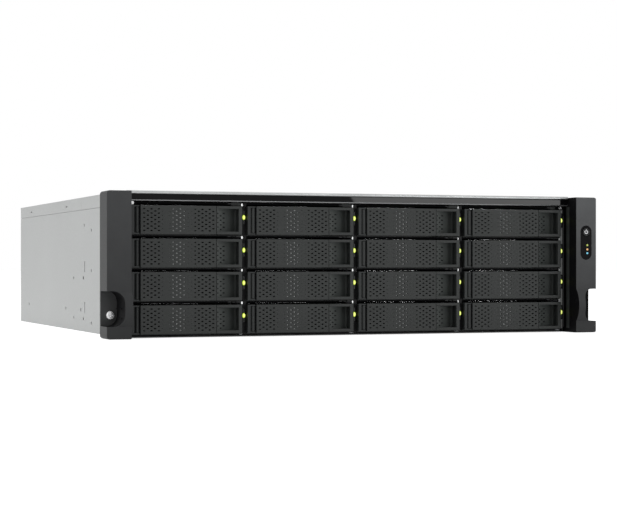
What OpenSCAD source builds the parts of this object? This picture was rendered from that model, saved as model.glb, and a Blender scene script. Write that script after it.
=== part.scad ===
// Rack-mount network attached storage, three rack units high, sixteen drive bays.
// Drawn in millimetres: +X to the right, +Y to the rear, +Z up, standing on z = 0.
// Each piece is drawn with y = 0 at the front of the rack ears, and in_frame()
// then moves it so that the origin is the middle of the whole product's footprint.

/* [Rack and case] */
// Width over the two rack ears
rack_w = 482; // [480:0.5:484]
// How far each ear stands out beside the sheet steel case
ear_out = 21; // [20:0.5:22]
// Height of the case with its lid
case_h = 131; // [130:0.5:134]
// Depth from the front of the ears to the outside of the rear panel
case_d = 521; // [505:1:580]
// Thickness of the sheet steel
sheet = 1.2; // [0.8:0.1:1.4]
// Height of the side flanges of the roof and the lid
flange_h = 12.1; // [9:0.1:14]
// Depth at which the roof ends and the lid begins
lid_front = 198; // [197:0.5:206]
// How far the front roof reaches forward
roof_front = 15; // [13:0.5:17]

/* [Rack ears] */
// How much lower the ears are than the case
ear_drop = 1; // [0.5:0.5:2]
// Depth of the ears without their steel flange
ear_d = 25; // [24:0.5:27]
// Thickness of the ears' steel flange
ear_flange_t = 2.5; // [2:0.1:3]
// How far the pull grip bulges forward
grip_bulge = 6; // [3:0.5:9]
// Lower end of the grip pocket
pocket_z = 11; // [9:0.5:13]
// Height of the grip pocket
pocket_h = 31; // [27:0.5:34]
// Width of the grip bar beside the pocket
grip_bar_w = 7.2; // [6:0.1:9]
// Corner radius of the D-shaped pocket
pocket_r = 9.5; // [5:0.5:12]
// Depth of the moulding that holds the lights on the right ear
pod_y = 15.5; // [13:0.5:18]
// Distance from an ear's outer edge to its rack screw
rack_screw_in = 8.45; // [8:0.05:9]
// Height of the rack screws above the base
rack_screw_z = 20.55; // [18:0.05:24]
// Diameter of the rack screws
rack_screw_d = 5; // [4:0.5:6]
// Length of the rack screws behind the ears
rack_screw_l = 14; // [12:1:20]
// Diameter of the screws' shank inside the ears
rack_shank_d = 4.4; // [4:0.1:4.6]

/* [Drive bays] */
// Number of bays side by side
bay_cols = 4; // [4:1:4]
// Number of bays one above the other
bay_rows = 4; // [4:1:4]
// Room between the bays and each side of the case
bays_margin = 4; // [3.6:0.1:4.4]
// Height of the lowest carrier front above the base
row_z = 3.4; // [3.2:0.1:3.8]
// Gap between one carrier front and the next one above it
row_gap = 4.05; // [3.6:0.05:4.4]
// Depth of the carrier fronts behind the ear fronts
front_y = 17; // [15:0.5:18]
// Thickness of the cage walls
wall_t = 1.2; // [0.8:0.1:1.2]
// How far a carrier slides out
carrier_travel = 190; // [150:1:200]

/* [Hard drives] */
// Room that a bay has beside its drive
drive_room = 6.4; // [6.2:0.1:8]
// Room that a row has above its drive
drive_headroom = 3.55; // [3.5:0.05:10]
// Length of a drive
drive_l = 147; // [140:0.5:147.5]
// Depth at which the drives begin
drive_y = 43; // [42.5:0.5:44]

/* [Carrier levers] */
// Radius of the hinge barrel
barrel_r = 2.5; // [2.2:0.1:2.6]
// Distance from the bay wall to the hinge axis
hinge_x = 6.9; // [6.6:0.1:7.2]
// Radius of the hinge pin
pin_r = 0.9; // [0.7:0.05:1.1]
// Width of the grip frame at the free end of the lever
grip_w = 24.1; // [20:0.5:27]
// Gap between the free end of a lever and the next bay
lever_gap = 4.3; // [4.2:0.1:6]
// Thickness of the perforated plate
plate_t = 1.2; // [0.8:0.1:1.6]
// Depth of the lever moulding behind its front face
lever_d = 6; // [5:0.2:6.4]
// Depth of the finger scoop at its deep end
scoop_d = 12; // [8:0.5:12]
// Columns of slots in the panel
slot_cols = 20; // [20:1:20]
// Slots in one column
slot_rows = 6; // [3:1:6]
// Width of the largest slots
slot_w = 2.4; // [1.6:0.1:2.6]
// Height of the largest slots
slot_h = 1.1; // [0.8:0.1:1.5]

/* [Cooling] */
// Depth at which the fan wall stands
fan_wall_y = 226; // [222:1:228]
// Edge length of a case fan
fan_w = 80; // [76:1:80]
// Depth of a case fan
fan_d = 38; // [32:1:38]
// Number of case fans
fan_count = 3; // [3:1:3]
// Room beside the row of fans
fan_margin = 28; // [26:1:40]
// Blades of a case fan
fan_blades = 7; // [5:1:9]

/* [Main board] */
// Gap between the main board and the power supplies
board_gap = 30; // [25:1:45]
// Length of the main board
board_l = 236; // [220:1:238]
// Height of the stand-offs under the main board
board_lift = 7; // [5:0.5:9]
// Thickness of the circuit boards
board_t = 1.6; // [1.2:0.1:2]
// Number of memory modules
dimm_count = 4; // [1:1:4]

/* [Power supplies] */
// Width of a power supply
psu_w = 73.5; // [70:0.5:74]
// Height of a power supply
psu_h = 40; // [38:0.5:40.5]
// Length of a power supply
psu_l = 185; // [170:1:190]
// How far a power supply slides out
psu_travel = 190; // [150:1:200]
// How far the pull handles stand out
handle_l = 24; // [20:0.5:30]

/* [Clearances] */
// Running clearance of what slides or turns
run_gap = 0.4; // [0.3:0.05:0.5]
// Seat clearance of a piece that rests on another
seat_gap = 0.2; // [0.1:0.05:0.3]

/* [Hidden] */
$fn = 48;
eps = 0.01;

// the case
case_w = rack_w - 2 * ear_out;
frame_y = (case_d + handle_l - grip_bulge) / 2;
wall_x = case_w / 2 - sheet;
seam_z = case_h - flange_h;
joggle_x = wall_x - seat_gap - sheet;
joggle_z = seam_z - 4.6;
case_front = ear_d + ear_flange_t;
ear_x = wall_x + seat_gap;
ear_w = rack_w / 2 - ear_x;
ear_h = case_h - ear_drop;
ear_edge_r = 1.2;
ear_corner_r = 2.8;
rack_screw_pitch = rack_w - 2 * rack_screw_in;
rib_t = 1.6;
vent_pitch = 11;
floor_top = sheet;
roof_z = case_h - sheet;
rail_hole_d = 3.4;
rail_hole_z = 21;
rail_hole_y = [201, 271, 470];
side_slot_y = 183;
side_slot_h = 10.5;
side_groups_z = [12.4, 52.2];
side_hole_y = 154;
side_holes_z = [9.3, 59.8, seam_z - 20.7];
lid_hook_y = [268, 456];

// the front bar
bar_y = 16;
bar_d = 10;
bar_z = case_h - 9;
bar_h = 5.8;
hem_r = 1.5;
bar_screw_r = 1.5;
bar_screw_x = case_w / 2 - 6.8;
tab_y = 22;

// the drive bays
bays_w = case_w - 2 * bays_margin;
bay_w = bays_w / bay_cols;
row_pitch = (bar_z - row_z) / bay_rows;
front_h = row_pitch - row_gap;
drive_w = bay_w - drive_room;
drive_h = row_pitch - drive_headroom;
cage_front = 24;
cage_back = lid_front - 1;
cage_top = bar_z - sheet;
strip_left = 2.1;
strip_right = 1.3;
tab_reach = 1.3;
tab_rise = 0.4;
tab_h = 2.3;
rail_gap = 1.7;
rail_t = 1;
drive_fit = 0.15;
rail_z = 22;
tie_t = 0.6;
tie_w = 14;
drive_z = (front_h - drive_h) / 2;
tray_z = drive_z - drive_fit - tie_t;
ledge_t = 0.9;
ledge_w = rail_gap + rail_t - wall_t / 2;
carrier_w = drive_w + 2 * drive_fit + 2 * rail_t;
rail_back = drive_y + drive_l + 1;
board_y = 200;
drive_plug = board_y - drive_y - drive_l;
socket_w = bay_w / 3;

// the lever and its hinge, measured from the left wall of a bay
hinge_y = front_y + barrel_r + 0.1;
tab_t = 1.2;
tab_gap = run_gap;
pin_gap = 0.08;
panel_x = hinge_x + barrel_r;
grip_end = bay_w - lever_gap;
grip_x = grip_end - grip_w;
panel_w = grip_x - panel_x;
slot_margin = 3.18;
slot_dx = (panel_w - 2 * slot_margin) / (slot_cols - 1);
slot_dz = (front_h - 2 * slot_margin) / (slot_rows - 1);
slot_sizes = [0.95, 1, 1, 1, 0.95, 0.55, 0, 0.5, 0.85, 0.95, 0.95, 0.8, 0.45, 0.4, 0.8, 0.95, 1, 1, 1, 0.95];
lever_back = front_y + lever_d;
bar_top = 2.4;
bar_bottom = 2.6;
bar_right = 3.2;
post_x = 1;
post_w = 2.7;
scoop_wall = 1.2;

// the lights beside the bays
light_x = 0.6;
light_w = 2.6;
light_h = 5;
light_t = 0.8;
light_z = front_h - 9.7;
status_x = rack_w / 2 - 11.3;
button_z = ear_h - 33.3;
button_r = 3.7;
button_travel = 1.5;
pill_w = 11.5;
pill_z = ear_h - 59.8;
pill_h = 32.5;
pill_t = 0.5;
status_z = [ear_h - 46, ear_h - 50.1, ear_h - 53.7];

// inside
fan_z = (case_h - 3) / 2;
fan_pitch = (case_w - 2 * fan_margin) / fan_count;
fan_bore = fan_w / 2 - 2;
hub_r = 17;
shaft_r = 2;
board_x = -case_w / 2 + 14;
board_front = case_d - sheet - 2 - board_l;
board_z = floor_top + board_lift;
board_top = board_z + board_t;
psu_x = case_w / 2 - psu_w - 7.5;
board_w = psu_x - board_gap - board_x;
slot_x = board_x + 158;
slot_pitch = 22;
slots_top = case_h - 19;
shield_x = board_x + 8;
shield_w = 128;
shield_h = 46;
port_x = board_x + 12;
port_pitch = 18;
usb_x = board_x + 88;
console_x = board_x + 108;
psu_pitch = psu_h + 3.2;
psu_z = floor_top + 3.2;
psu_back = case_d;
psu_fan_x = 52.5;
psu_fan_z = 20;
psu_fan_r = 18;
psu_shaft_r = 1.5;
latch_x = 12;
latch_w = 14;
latch_z = 37;
latch_l = 9;
latch_pin_y = -27;
latch_pin_r = 0.8;
cage_t = 1;

function bay_x(n) = -bays_w / 2 + ((n - 1) % bay_cols) * bay_w;
function bay_z(n) = row_z + (bay_rows - 1 - floor((n - 1) / bay_cols)) * row_pitch;
function psu_floor(k) = psu_z + k * psu_pitch;
function fan_x(k) = -22 + (k - 1) * fan_pitch;

module in_frame() {
  translate([0, -frame_y, 0]) children();
}

module in_bay(n) {
  in_frame() translate([bay_x(n), 0, bay_z(n)]) children();
}

// an outline in Y and Z, drawn along X
module along_x(x0, x1) {
  translate([x0, 0, 0]) rotate([90, 0, 90]) linear_extrude(x1 - x0) children();
}

// an outline in X and Z, drawn along Y
module along_y(y0, y1) {
  translate([0, y1, 0]) rotate([90, 0, 0]) linear_extrude(y1 - y0) children();
}

module both_sides() {
  children();
  mirror([1, 0, 0]) children();
}

module box(a, b) {
  translate(a) cube(b - a);
}

module rod_y(x, z, y0, y1, r) {
  translate([x, y1, z]) rotate([90, 0, 0]) cylinder(r = r, h = y1 - y0);
}

module rod_x(x0, x1, y, z, r) {
  translate([x0, y, z]) rotate([0, 90, 0]) cylinder(r = r, h = x1 - x0);
}

// ---------------------------------------------------------------- case

module side_wall() {
  box([wall_x, case_front, 0], [case_w / 2, case_d, seam_z - 0.3]);
  box([joggle_x, case_front, joggle_z], [wall_x + eps, case_d, seam_z - 0.3]);
  box([joggle_x, case_front, joggle_z], [joggle_x + sheet, case_d, roof_z]);
}

module side_openings() {
  for (y = rail_hole_y) {
    rod_x(joggle_x - 1, case_w / 2 + 1, y, rail_hole_z, rail_hole_d / 2);
  }
  for (z = side_groups_z) {
    rod_x(wall_x - 1, case_w / 2 + 1, 233, z, 1.5);
    box([wall_x - 1, side_slot_y - 1.2, z + 5.8], [case_w / 2 + 1, side_slot_y + 1.2, z + 5.8 + side_slot_h]);
  }
  for (z = side_holes_z) {
    rod_x(wall_x - 1, case_w / 2 + 1, side_hole_y, z, 1.5);
  }
  rod_x(wall_x - 1, case_w / 2 + 1, side_slot_y + 2, seam_z - 15.4, 1.5);
}

module board_post(x, y) {
  translate([board_x + x, board_front + y, floor_top - eps]) cylinder(r = 3, h = board_lift + eps);
}

module base_tray() {
  color("silver") in_frame() {
    difference() {
      union() {
        box([-case_w / 2, case_front, 0], [case_w / 2, case_d, sheet]);
        both_sides() side_wall();
        for (x = [12, board_w / 2, board_w - 12]) {
          for (y = [12, board_l / 2, board_l - 12]) {
            board_post(x, y);
          }
        }
      }
      both_sides() side_openings();
    }
  }
}

module psu_window() {
  box([psu_x - 1.2, case_d - 5, psu_z - 1.2], [psu_x + psu_w + 1.2, case_d + 1, psu_floor(1) + psu_h + 1.2]);
}

module vent_field(x0, z0, cols, rows) {
  for (i = [0 : cols - 1]) {
    for (j = [0 : rows - 1]) {
      translate([x0 + vent_pitch * (i + (j % 2) / 2), 0, z0 + vent_pitch * 0.87 * j])
        along_y(case_d - 5, case_d + 1) circle(r = vent_pitch * 0.42, $fn = 6);
    }
  }
}

module rear_panel() {
  color("silver") in_frame() {
    difference() {
      box([-joggle_x + seat_gap, case_d - sheet, floor_top], [joggle_x - seat_gap, case_d, roof_z - seat_gap]);
      psu_window();
      box([shield_x, case_d - 5, board_top - 1], [shield_x + shield_w, case_d + 1, board_top + shield_h]);
      for (k = [0 : 1]) {
        box([slot_x + slot_pitch * k, case_d - 5, 18], [slot_x + slot_pitch * k + 12, case_d + 1, slots_top]);
      }
      vent_field(port_x, 68, 11, 5);
      vent_field(slot_x + 60, 16, floor((psu_x - slot_x - 77) / vent_pitch), 10);
      vent_field(psu_x + 7, 98, 6, 2);
    }
    for (k = [0 : 1]) {
      slot_cover(slot_x + slot_pitch * k);
    }
  }
}

module slot_cover(x) {
  box([x - 2.5, case_d, 15], [x + 14.5, case_d + 0.8, slots_top + 3]);
  rod_y(x + 6, slots_top, case_d + 0.8, case_d + 2.6, 2.6);
}

module front_roof() {
  color("gainsboro") in_frame() {
    box([-case_w / 2, case_front + 0.3, roof_z], [case_w / 2, lid_front - 0.3, case_h]);
    box([-ear_x + run_gap, roof_front + hem_r, roof_z], [ear_x - run_gap, case_front + 0.4, case_h]);
    rod_x(-ear_x + run_gap, ear_x - run_gap, roof_front + hem_r, case_h - hem_r, hem_r);
    both_sides() box([wall_x, case_front + 0.3, seam_z], [case_w / 2, lid_front - 0.3, roof_z + eps]);
  }
}

module front_bar() {
  color("#1c1c1e") in_frame() {
    along_x(-ear_x + run_gap, ear_x - run_gap) polygon([
      [bar_y + 0.8, bar_z], [bar_y + bar_d, bar_z], [bar_y + bar_d, roof_z],
      [roof_front + 2 * hem_r + 0.6, roof_z], [roof_front + 2 * hem_r + 0.6, bar_z + bar_h],
      [bar_y, bar_z + bar_h], [bar_y, bar_z + 0.8]
    ]);
    both_sides() bar_tab();
  }
}

// a short tab with a screw at each end of the bar
module bar_tab() {
  box([bar_screw_x - 4, tab_y, bar_z - 3.6], [bar_screw_x + 4, tab_y + 1, bar_z + eps]);
  difference() {
    rod_y(bar_screw_x, bar_z - 1.8, tab_y - 1.1, tab_y + eps, bar_screw_r);
    box([bar_screw_x - 1, tab_y - 2, bar_z - 2], [bar_screw_x + 1, tab_y - 0.6, bar_z - 1.6]);
    box([bar_screw_x - 0.2, tab_y - 2, bar_z - 2.8], [bar_screw_x + 0.2, tab_y - 0.6, bar_z - 0.8]);
  }
}

module lid_hook(y) {
  box([wall_x - 1, y - 4, case_h - 7.4], [case_w / 2 + 1, y + 4, case_h - 6.2]);
}

module rear_lid() {
  color("gainsboro") in_frame() {
    difference() {
      union() {
        box([-case_w / 2, lid_front, roof_z], [case_w / 2, case_d + seat_gap + sheet, case_h]);
        both_sides() box([wall_x, lid_front, seam_z], [case_w / 2, case_d, roof_z + eps]);
        box([-joggle_x, case_d + seat_gap, case_h - 11], [joggle_x, case_d + seat_gap + sheet, roof_z + eps]);
      }
      both_sides() for (y = lid_hook_y) lid_hook(y);
    }
    both_sides() thumb_screw(joggle_x - 12);
  }
}

module thumb_screw(x) {
  rod_y(x, case_h - 6, case_d + seat_gap + sheet, case_d + seat_gap + sheet + 7, 3.6);
}

// ---------------------------------------------------------------- rack ears

// a rectangle whose far corner in x is rounded at the low y, and at the high y too if both is true
module rounded_end(w, h, r, both) {
  translate([0, r]) square([w, both ? h - 2 * r : h - r]);
  square([w - r, h]);
  for (y = both ? [r, h - r] : [r]) {
    translate([w - r, y]) circle(r = r);
  }
}

// the ear's block: its front edges are rounded, and so are its outer corners
module ear_block(y1) {
  intersection() {
    linear_extrude(ear_h) translate([ear_x, 0]) rounded_end(ear_w, y1, ear_edge_r, false);
    along_y(-1, y1 + 1) translate([ear_x, 0]) rounded_end(ear_w, ear_h, ear_corner_r, true);
    along_x(ear_x - 1, rack_w / 2 + 1) translate([y1, 0]) mirror([1, 0]) rounded_end(y1, ear_h, ear_edge_r, true);
  }
}

module grip_bulge_body() {
  chord = pocket_h;
  bow_r = (chord * chord / 4 + grip_bulge * grip_bulge) / (2 * grip_bulge);
  along_x(ear_x, ear_x + grip_bar_w + pocket_r) intersection() {
    translate([bow_r - grip_bulge, pocket_z + pocket_h / 2]) circle(r = bow_r, $fn = 96);
    translate([-grip_bulge, pocket_z]) square([grip_bulge + 5, pocket_h]);
  }
}

// the D-shaped pocket, open to the outer side
module pocket(y1) {
  x0 = ear_x + grip_bar_w;
  along_y(-grip_bulge - 1, y1) {
    translate([x0, pocket_z + pocket_r]) square([rack_w / 2 + 1 - x0, pocket_h - 2 * pocket_r]);
    translate([x0 + pocket_r, pocket_z]) square([rack_w / 2 + 1 - x0 - pocket_r, pocket_h]);
    for (z = [pocket_z + pocket_r, pocket_z + pocket_h - pocket_r]) {
      translate([x0 + pocket_r, z]) circle(r = pocket_r);
    }
  }
}

module pocket_ribs(y1) {
  for (z = [pocket_z + 7, pocket_z + pocket_h / 2, pocket_z + pocket_h - 7]) {
    box([ear_x + grip_bar_w - eps, 5, z - 0.5], [ear_x + grip_bar_w + 0.7, y1, z + 0.5]);
  }
}

module ear_moulding(y1) {
  difference() {
    union() {
      ear_block(y1);
      grip_bulge_body();
    }
    pocket(y1 + 1);
  }
  pocket_ribs(y1);
}

module ear_plate(y0, y1) {
  along_y(y0 - eps, y1) translate([ear_x, 0]) rounded_end(ear_w, ear_h, ear_corner_r, true);
}

module ear_flange() {
  leg_t = rib_t;
  difference() {
    ear_plate(ear_d, case_front);
    rod_y(rack_screw_pitch / 2, rack_screw_z, ear_d - 1, case_front + 1, rack_screw_d / 2 + 0.25);
  }
  difference() {
    box([wall_x - leg_t, case_front - ear_flange_t, 5], [wall_x, 66, joggle_z - 2]);
    box([wall_x - leg_t - 1, 40, 40], [wall_x + 1, 50, 80]);
  }
  box([wall_x - leg_t, ear_d, 5], [ear_x + eps, case_front, joggle_z - 2]);
}

module left_ear() {
  color("#3c3e40") in_frame() mirror([1, 0, 0]) {
    ear_moulding(ear_d);
    ear_flange();
  }
}

module right_ear() {
  color("#3c3e40") in_frame() {
    difference() {
      ear_moulding(pod_y);
      status_recess();
      rod_y(status_x, button_z, -1, pod_y + 1, button_r + run_gap);
    }
    difference() {
      ear_plate(pod_y, ear_d);
      rod_y(rack_screw_pitch / 2, rack_screw_z, pod_y - 1, ear_d + 1, rack_screw_d / 2 + 0.25);
      rod_y(status_x, button_z, pod_y - 1, pod_y + 4, button_r + run_gap);
    }
    ear_flange();
  }
}

module pill_outline(grow) {
  r = pill_w / 2 + grow;
  translate([status_x, pill_z + pill_w / 2]) circle(r = r);
  translate([status_x, pill_z + pill_h - pill_w / 2]) circle(r = r);
  translate([status_x - r, pill_z + pill_w / 2]) square([2 * r, pill_h - pill_w]);
}

module status_recess() {
  along_y(-1, pill_t + 0.3) pill_outline(seat_gap);
}

module status_lights() {
  color("#101012") in_frame() {
    difference() {
      along_y(0.3, pill_t + 0.3) pill_outline(0);
      rod_y(status_x, button_z, -1, pill_t + 1, button_r + run_gap);
      for (z = status_z) {
        rod_y(status_x + 1.5, z, -1, pill_t + 1, 1);
      }
    }
    for (z = status_z) {
      rod_y(status_x + 1.5, z, 0.1, pill_t + 0.3, 0.95);
    }
  }
}

module power_button() {
  color("#101012") in_frame() {
    rod_y(status_x, button_z, -0.4, pod_y + 1, button_r);
  }
}

module pan_screw(x, y) {
  difference() {
    union() {
      rod_y(x, rack_screw_z, y - 2.4, y, 3.6);
      rod_y(x, rack_screw_z, y - eps, case_front + 2 + eps, rack_shank_d / 2);
      rod_y(x, rack_screw_z, case_front + 2, case_front + 2 + rack_screw_l, rack_screw_d / 2);
    }
    box([x - 1.8, y - 3, rack_screw_z - 0.4], [x + 1.8, y - 1.2, rack_screw_z + 0.4]);
    box([x - 0.4, y - 3, rack_screw_z - 1.8], [x + 0.4, y - 1.2, rack_screw_z + 1.8]);
  }
}

module rack_screws() {
  color("silver") in_frame() {
    pan_screw(-rack_screw_pitch / 2, ear_d);
    pan_screw(rack_screw_pitch / 2, pod_y);
  }
}

// ---------------------------------------------------------------- drive cage

module cage_wall(x, left, right) {
  box([x - wall_t / 2, cage_front, floor_top], [x + wall_t / 2, cage_back, cage_top + eps]);
  box([x - left, cage_front - 0.8, floor_top + 0.6], [x + right, cage_front + eps, cage_top + sheet]);
}

module runner(x, side, n) {
  z = bay_z(n) + tray_z - seat_gap;
  x1 = x + side * ledge_w + side * wall_t / 2;
  box([min(x, x1), case_front + 4, z - ledge_t], [max(x, x1), cage_back, z]);
}

// a small bright tab of the wall in the gap above each carrier front
module row_tab(x, n) {
  z = bay_z(n) + front_h + tab_rise;
  box([x - strip_left - tab_reach, cage_front - 1, z], [x - strip_left + 0.4, cage_front, z + tab_h]);
}

module drive_cage() {
  color("lightgray") in_frame() {
    for (c = [0 : bay_cols]) {
      x = -bays_w / 2 + c * bay_w;
      cage_wall(x, c == 0 ? wall_t / 2 : strip_left, c == bay_cols ? wall_t / 2 : strip_right);
      for (r = [0 : bay_rows - 1]) {
        if (c > 0) runner(x, -1, 1 + r * bay_cols);
        if (c > 0) row_tab(x, 1 + r * bay_cols);
        if (c < bay_cols) runner(x, 1, 1 + r * bay_cols);
      }
    }
    box([-bays_w / 2 - wall_t / 2, case_front, cage_top], [bays_w / 2 + wall_t / 2, cage_back, cage_top + sheet]);
  }
}

module backplane() {
  color("darkgreen") in_frame() {
    difference() {
      box([-bays_w / 2 + 2, board_y, floor_top + seat_gap], [bays_w / 2 - 2, board_y + board_t, cage_top - 1]);
      for (n = [1 : bay_cols * bay_rows]) {
        box([bay_x(n) + 12, board_y - 1, bay_z(n) + 3], [bay_x(n) + bay_w - 52, board_y + 3, bay_z(n) + front_h - 3.6]);
      }
    }
    for (n = [1 : bay_cols * bay_rows]) {
      drive_socket(bay_x(n) + bay_w - socket_w - 10, bay_z(n));
    }
  }
}

module drive_socket(x, z) {
  box([x, board_y - drive_plug + 0.3, z + 1.5], [x + socket_w, board_y, z + 8]);
}

module drive_lights() {
  color("yellowgreen") in_frame() {
    for (n = [1 : bay_cols * bay_rows]) {
      translate([bay_x(n) + bay_w - light_x, 0, bay_z(n) + light_z]) {
        box([-light_w / 2, cage_front - 0.8 - light_t, -light_h / 2], [light_w / 2, cage_front - 0.8, light_h / 2]);
      }
    }
  }
}

// ---------------------------------------------------------------- drive carrier

module hinge_tab(z) {
  translate([hinge_x, hinge_y, z]) cylinder(r = barrel_r - 0.1, h = tab_t);
  box([post_x + post_w - eps, hinge_y - barrel_r + 0.1, z], [hinge_x, hinge_y + barrel_r - 0.1, z + tab_t]);
}

module carrier_frame() {
  // front post, hinge tabs and the wall behind the lever
  box([post_x, front_y, 0], [post_x + post_w, lever_back, front_h]);
  box([rail_gap, lever_back - eps, tray_z], [post_x + post_w, cage_front + 1, front_h - 2]);
  hinge_tab(0);
  hinge_tab(front_h - tab_t);
  difference() {
    box([rail_gap, cage_front, tray_z], [grip_x - 4, cage_front + 1.2, front_h - 2]);
    box([12, cage_front - 1, 4], [grip_x - 8, cage_front + 2, front_h - 6]);
  }
  // floor behind the lever and two ties under the drive
  for (y = [[cage_front, drive_y], [drive_y + 24, drive_y + 24 + tie_w], [drive_y + 110, drive_y + 110 + tie_w]]) {
    box([rail_gap, y[0], tray_z], [rail_gap + carrier_w, y[1], tray_z + tie_t]);
  }
  // side rails
  for (x = [rail_gap, rail_gap + carrier_w - rail_t]) {
    difference() {
      box([x, cage_front, tray_z], [x + rail_t, rail_back, rail_z]);
      for (y = [drive_y + 12 : 34 : drive_y + drive_l - 20]) {
        box([x - 1, y, 8], [x + rail_t + 1, y + 18, 15]);
      }
    }
  }
}

module hard_drive() {
  x0 = rail_gap + rail_t + drive_fit;
  z0 = drive_z;
  difference() {
    box([x0, drive_y, z0], [x0 + drive_w, drive_y + drive_l, z0 + drive_h]);
    // stepped lid and corner scallops of the casting
    for (x = [x0, x0 + drive_w]) {
      for (y = [drive_y, drive_y + drive_l]) {
        translate([x, y, z0 + drive_h - 4]) cylinder(r = 9, h = 5);
      }
    }
    box([x0 + drive_w - socket_w - 8, drive_y + drive_l - 6, z0 - 1], [x0 + drive_w - 4, drive_y + drive_l + 1, z0 + 6]);
  }
  translate([x0 + drive_w / 2, drive_y + 62, z0 + drive_h]) cylinder(r = 16, h = 0.4);
}

module carrier(n) {
  in_bay(n) {
    color("#2b2d2e") carrier_frame();
    color("silver") hard_drive();
    color("silver") translate([hinge_x, hinge_y, 0]) cylinder(r = pin_r, h = front_h);
  }
}

// ---------------------------------------------------------------- carrier lever

// an oval slot, a rhombus where it is small
module slot(size) {
  w = slot_w * size / 2;
  h = slot_h * size / 2;
  if (size > 0.6) {
    polygon([[-w, 0], [-w * 0.6, h], [w * 0.6, h], [w, 0], [w * 0.6, -h], [-w * 0.6, -h]]);
  } else {
    polygon([[-w, 0], [0, h], [w, 0], [0, -h]]);
  }
}

module panel_slots() {
  for (i = [0 : slot_cols - 1]) {
    count = slot_sizes[i] > 0 ? slot_rows - (i % 2) : 0;
    for (j = [0 : 1 : count - 1]) {
      x = panel_x + slot_margin + i * slot_dx;
      translate([x, front_h / 2 + (j - (count - 1) / 2) * slot_dz]) slot(slot_sizes[i]);
    }
  }
}

module perforated_plate() {
  along_y(front_y, front_y + plate_t) difference() {
    translate([panel_x, 0]) square([panel_w - 0.4, front_h]);
    panel_slots();
  }
}

module lever_rim() {
  difference() {
    box([panel_x, front_y + plate_t, 0], [grip_x, lever_back, front_h]);
    box([panel_x + rib_t, front_y, rib_t], [grip_x - rib_t, lever_back + 1, front_h - rib_t]);
  }
}

module grip_frame() {
  deep = front_y + scoop_d;
  difference() {
    union() {
      box([grip_x, front_y, 0], [grip_end, lever_back, front_h]);
      translate([0, 0, 1]) linear_extrude(front_h - 2) polygon([
        [grip_x, front_y + 1], [grip_end - 0.7, front_y + 1], [grip_end - 0.7, deep + scoop_wall],
        [grip_end - bar_right - 1, deep + scoop_wall], [grip_x, front_y + 0.6 + 2 * scoop_wall]
      ]);
    }
    translate([0, 0, bar_bottom]) linear_extrude(front_h - bar_bottom - bar_top) polygon([
      [grip_x + 0.4, front_y - 1], [grip_end - bar_right, front_y - 1],
      [grip_end - bar_right, front_y + 4], [grip_end - 0.7 - scoop_wall, front_y + 4],
      [grip_end - 0.7 - scoop_wall, deep], [grip_end - bar_right - 0.6, deep], [grip_x + 0.4, front_y + 0.6]
    ]);
  }
}

module lever_barrel() {
  difference() {
    union() {
      translate([hinge_x, hinge_y, tab_t + tab_gap]) cylinder(r = barrel_r, h = front_h - 2 * (tab_t + tab_gap));
      box([hinge_x, hinge_y - 0.9, tab_t + tab_gap], [panel_x + rib_t / 2, hinge_y + 2.4, front_h - tab_t - tab_gap]);
    }
    translate([hinge_x, hinge_y, 0]) cylinder(r = pin_r + pin_gap, h = front_h);
  }
}

module lever(n) {
  in_bay(n) {
    color("#3c403e") {
      lever_rim();
      grip_frame();
      lever_barrel();
    }
    color("#3c403e") perforated_plate();
  }
}

// ---------------------------------------------------------------- cooling

module fan_frame(x) {
  y0 = fan_wall_y + sheet;
  difference() {
    box([x - fan_w / 2, y0, fan_z - fan_w / 2], [x + fan_w / 2, y0 + fan_d, fan_z + fan_w / 2]);
    rod_y(x, fan_z, y0 - 1, y0 + fan_d + 1, fan_bore);
    for (a = [45 : 90 : 315]) {
      rod_y(x + cos(a) * fan_w * 0.637, fan_z + sin(a) * fan_w * 0.637, y0 + 5, y0 + fan_d - 5, 9);
    }
  }
  difference() {
    union() {
      rod_y(x, fan_z, y0 + fan_d - 5, y0 + fan_d, hub_r);
      for (a = [0 : 90 : 270]) {
        translate([x, y0 + fan_d - 3, fan_z]) rotate([0, a, 0]) box([hub_r - 2, 0, -2], [fan_bore + 1, 3, 2]);
      }
    }
    rod_y(x, fan_z, y0 + fan_d - 6, y0 + fan_d + 1, shaft_r + pin_gap);
  }
}

module fan_wall() {
  color("dimgray") in_frame() {
    difference() {
      union() {
        box([-wall_x, fan_wall_y, floor_top], [wall_x, fan_wall_y + sheet, joggle_z - 1]);
        box([-joggle_x + 1, fan_wall_y, joggle_z - 2], [joggle_x - 1, fan_wall_y + sheet, roof_z - seat_gap]);
        box([-wall_x, fan_wall_y - 12, floor_top], [wall_x, fan_wall_y + eps, floor_top + sheet]);
      }
      for (k = [0 : fan_count - 1]) {
        rod_y(fan_x(k), fan_z, fan_wall_y - 1, fan_wall_y + sheet + 1, fan_bore - 1);
      }
    }
    for (k = [0 : fan_count - 1]) {
      fan_frame(fan_x(k));
    }
  }
}

// one blade: a curved strip set across the airflow, cut round at its tip
module rotor_blade(r, hub, depth) {
  bow = depth * 0.9;
  intersection() {
    cylinder(r = r, h = depth);
    rotate([90, 0, 90]) linear_extrude(r) intersection() {
      translate([-bow * 0.72, depth * 0.08]) difference() {
        circle(r = bow);
        circle(r = bow - 1.2);
      }
      translate([-depth * 0.6, depth * 0.05]) square([depth * 1.2, depth * 0.85]);
    }
  }
}

// a rotor turning about Y, with its hub from y = 0 and its shaft from y0 to y1
module rotor(r, hub, depth, blades, pin, y0, y1) {
  rotate([-90, 0, 0]) {
    cylinder(r = hub, h = depth);
    translate([0, 0, y0]) cylinder(r = pin, h = y1 - y0);
    for (i = [0 : blades - 1]) {
      rotate([0, 0, i * 360 / blades]) difference() {
        rotor_blade(r, hub, depth);
        translate([0, 0, -1]) cylinder(r = hub - 1, h = depth + 2);
      }
    }
  }
}

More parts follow.
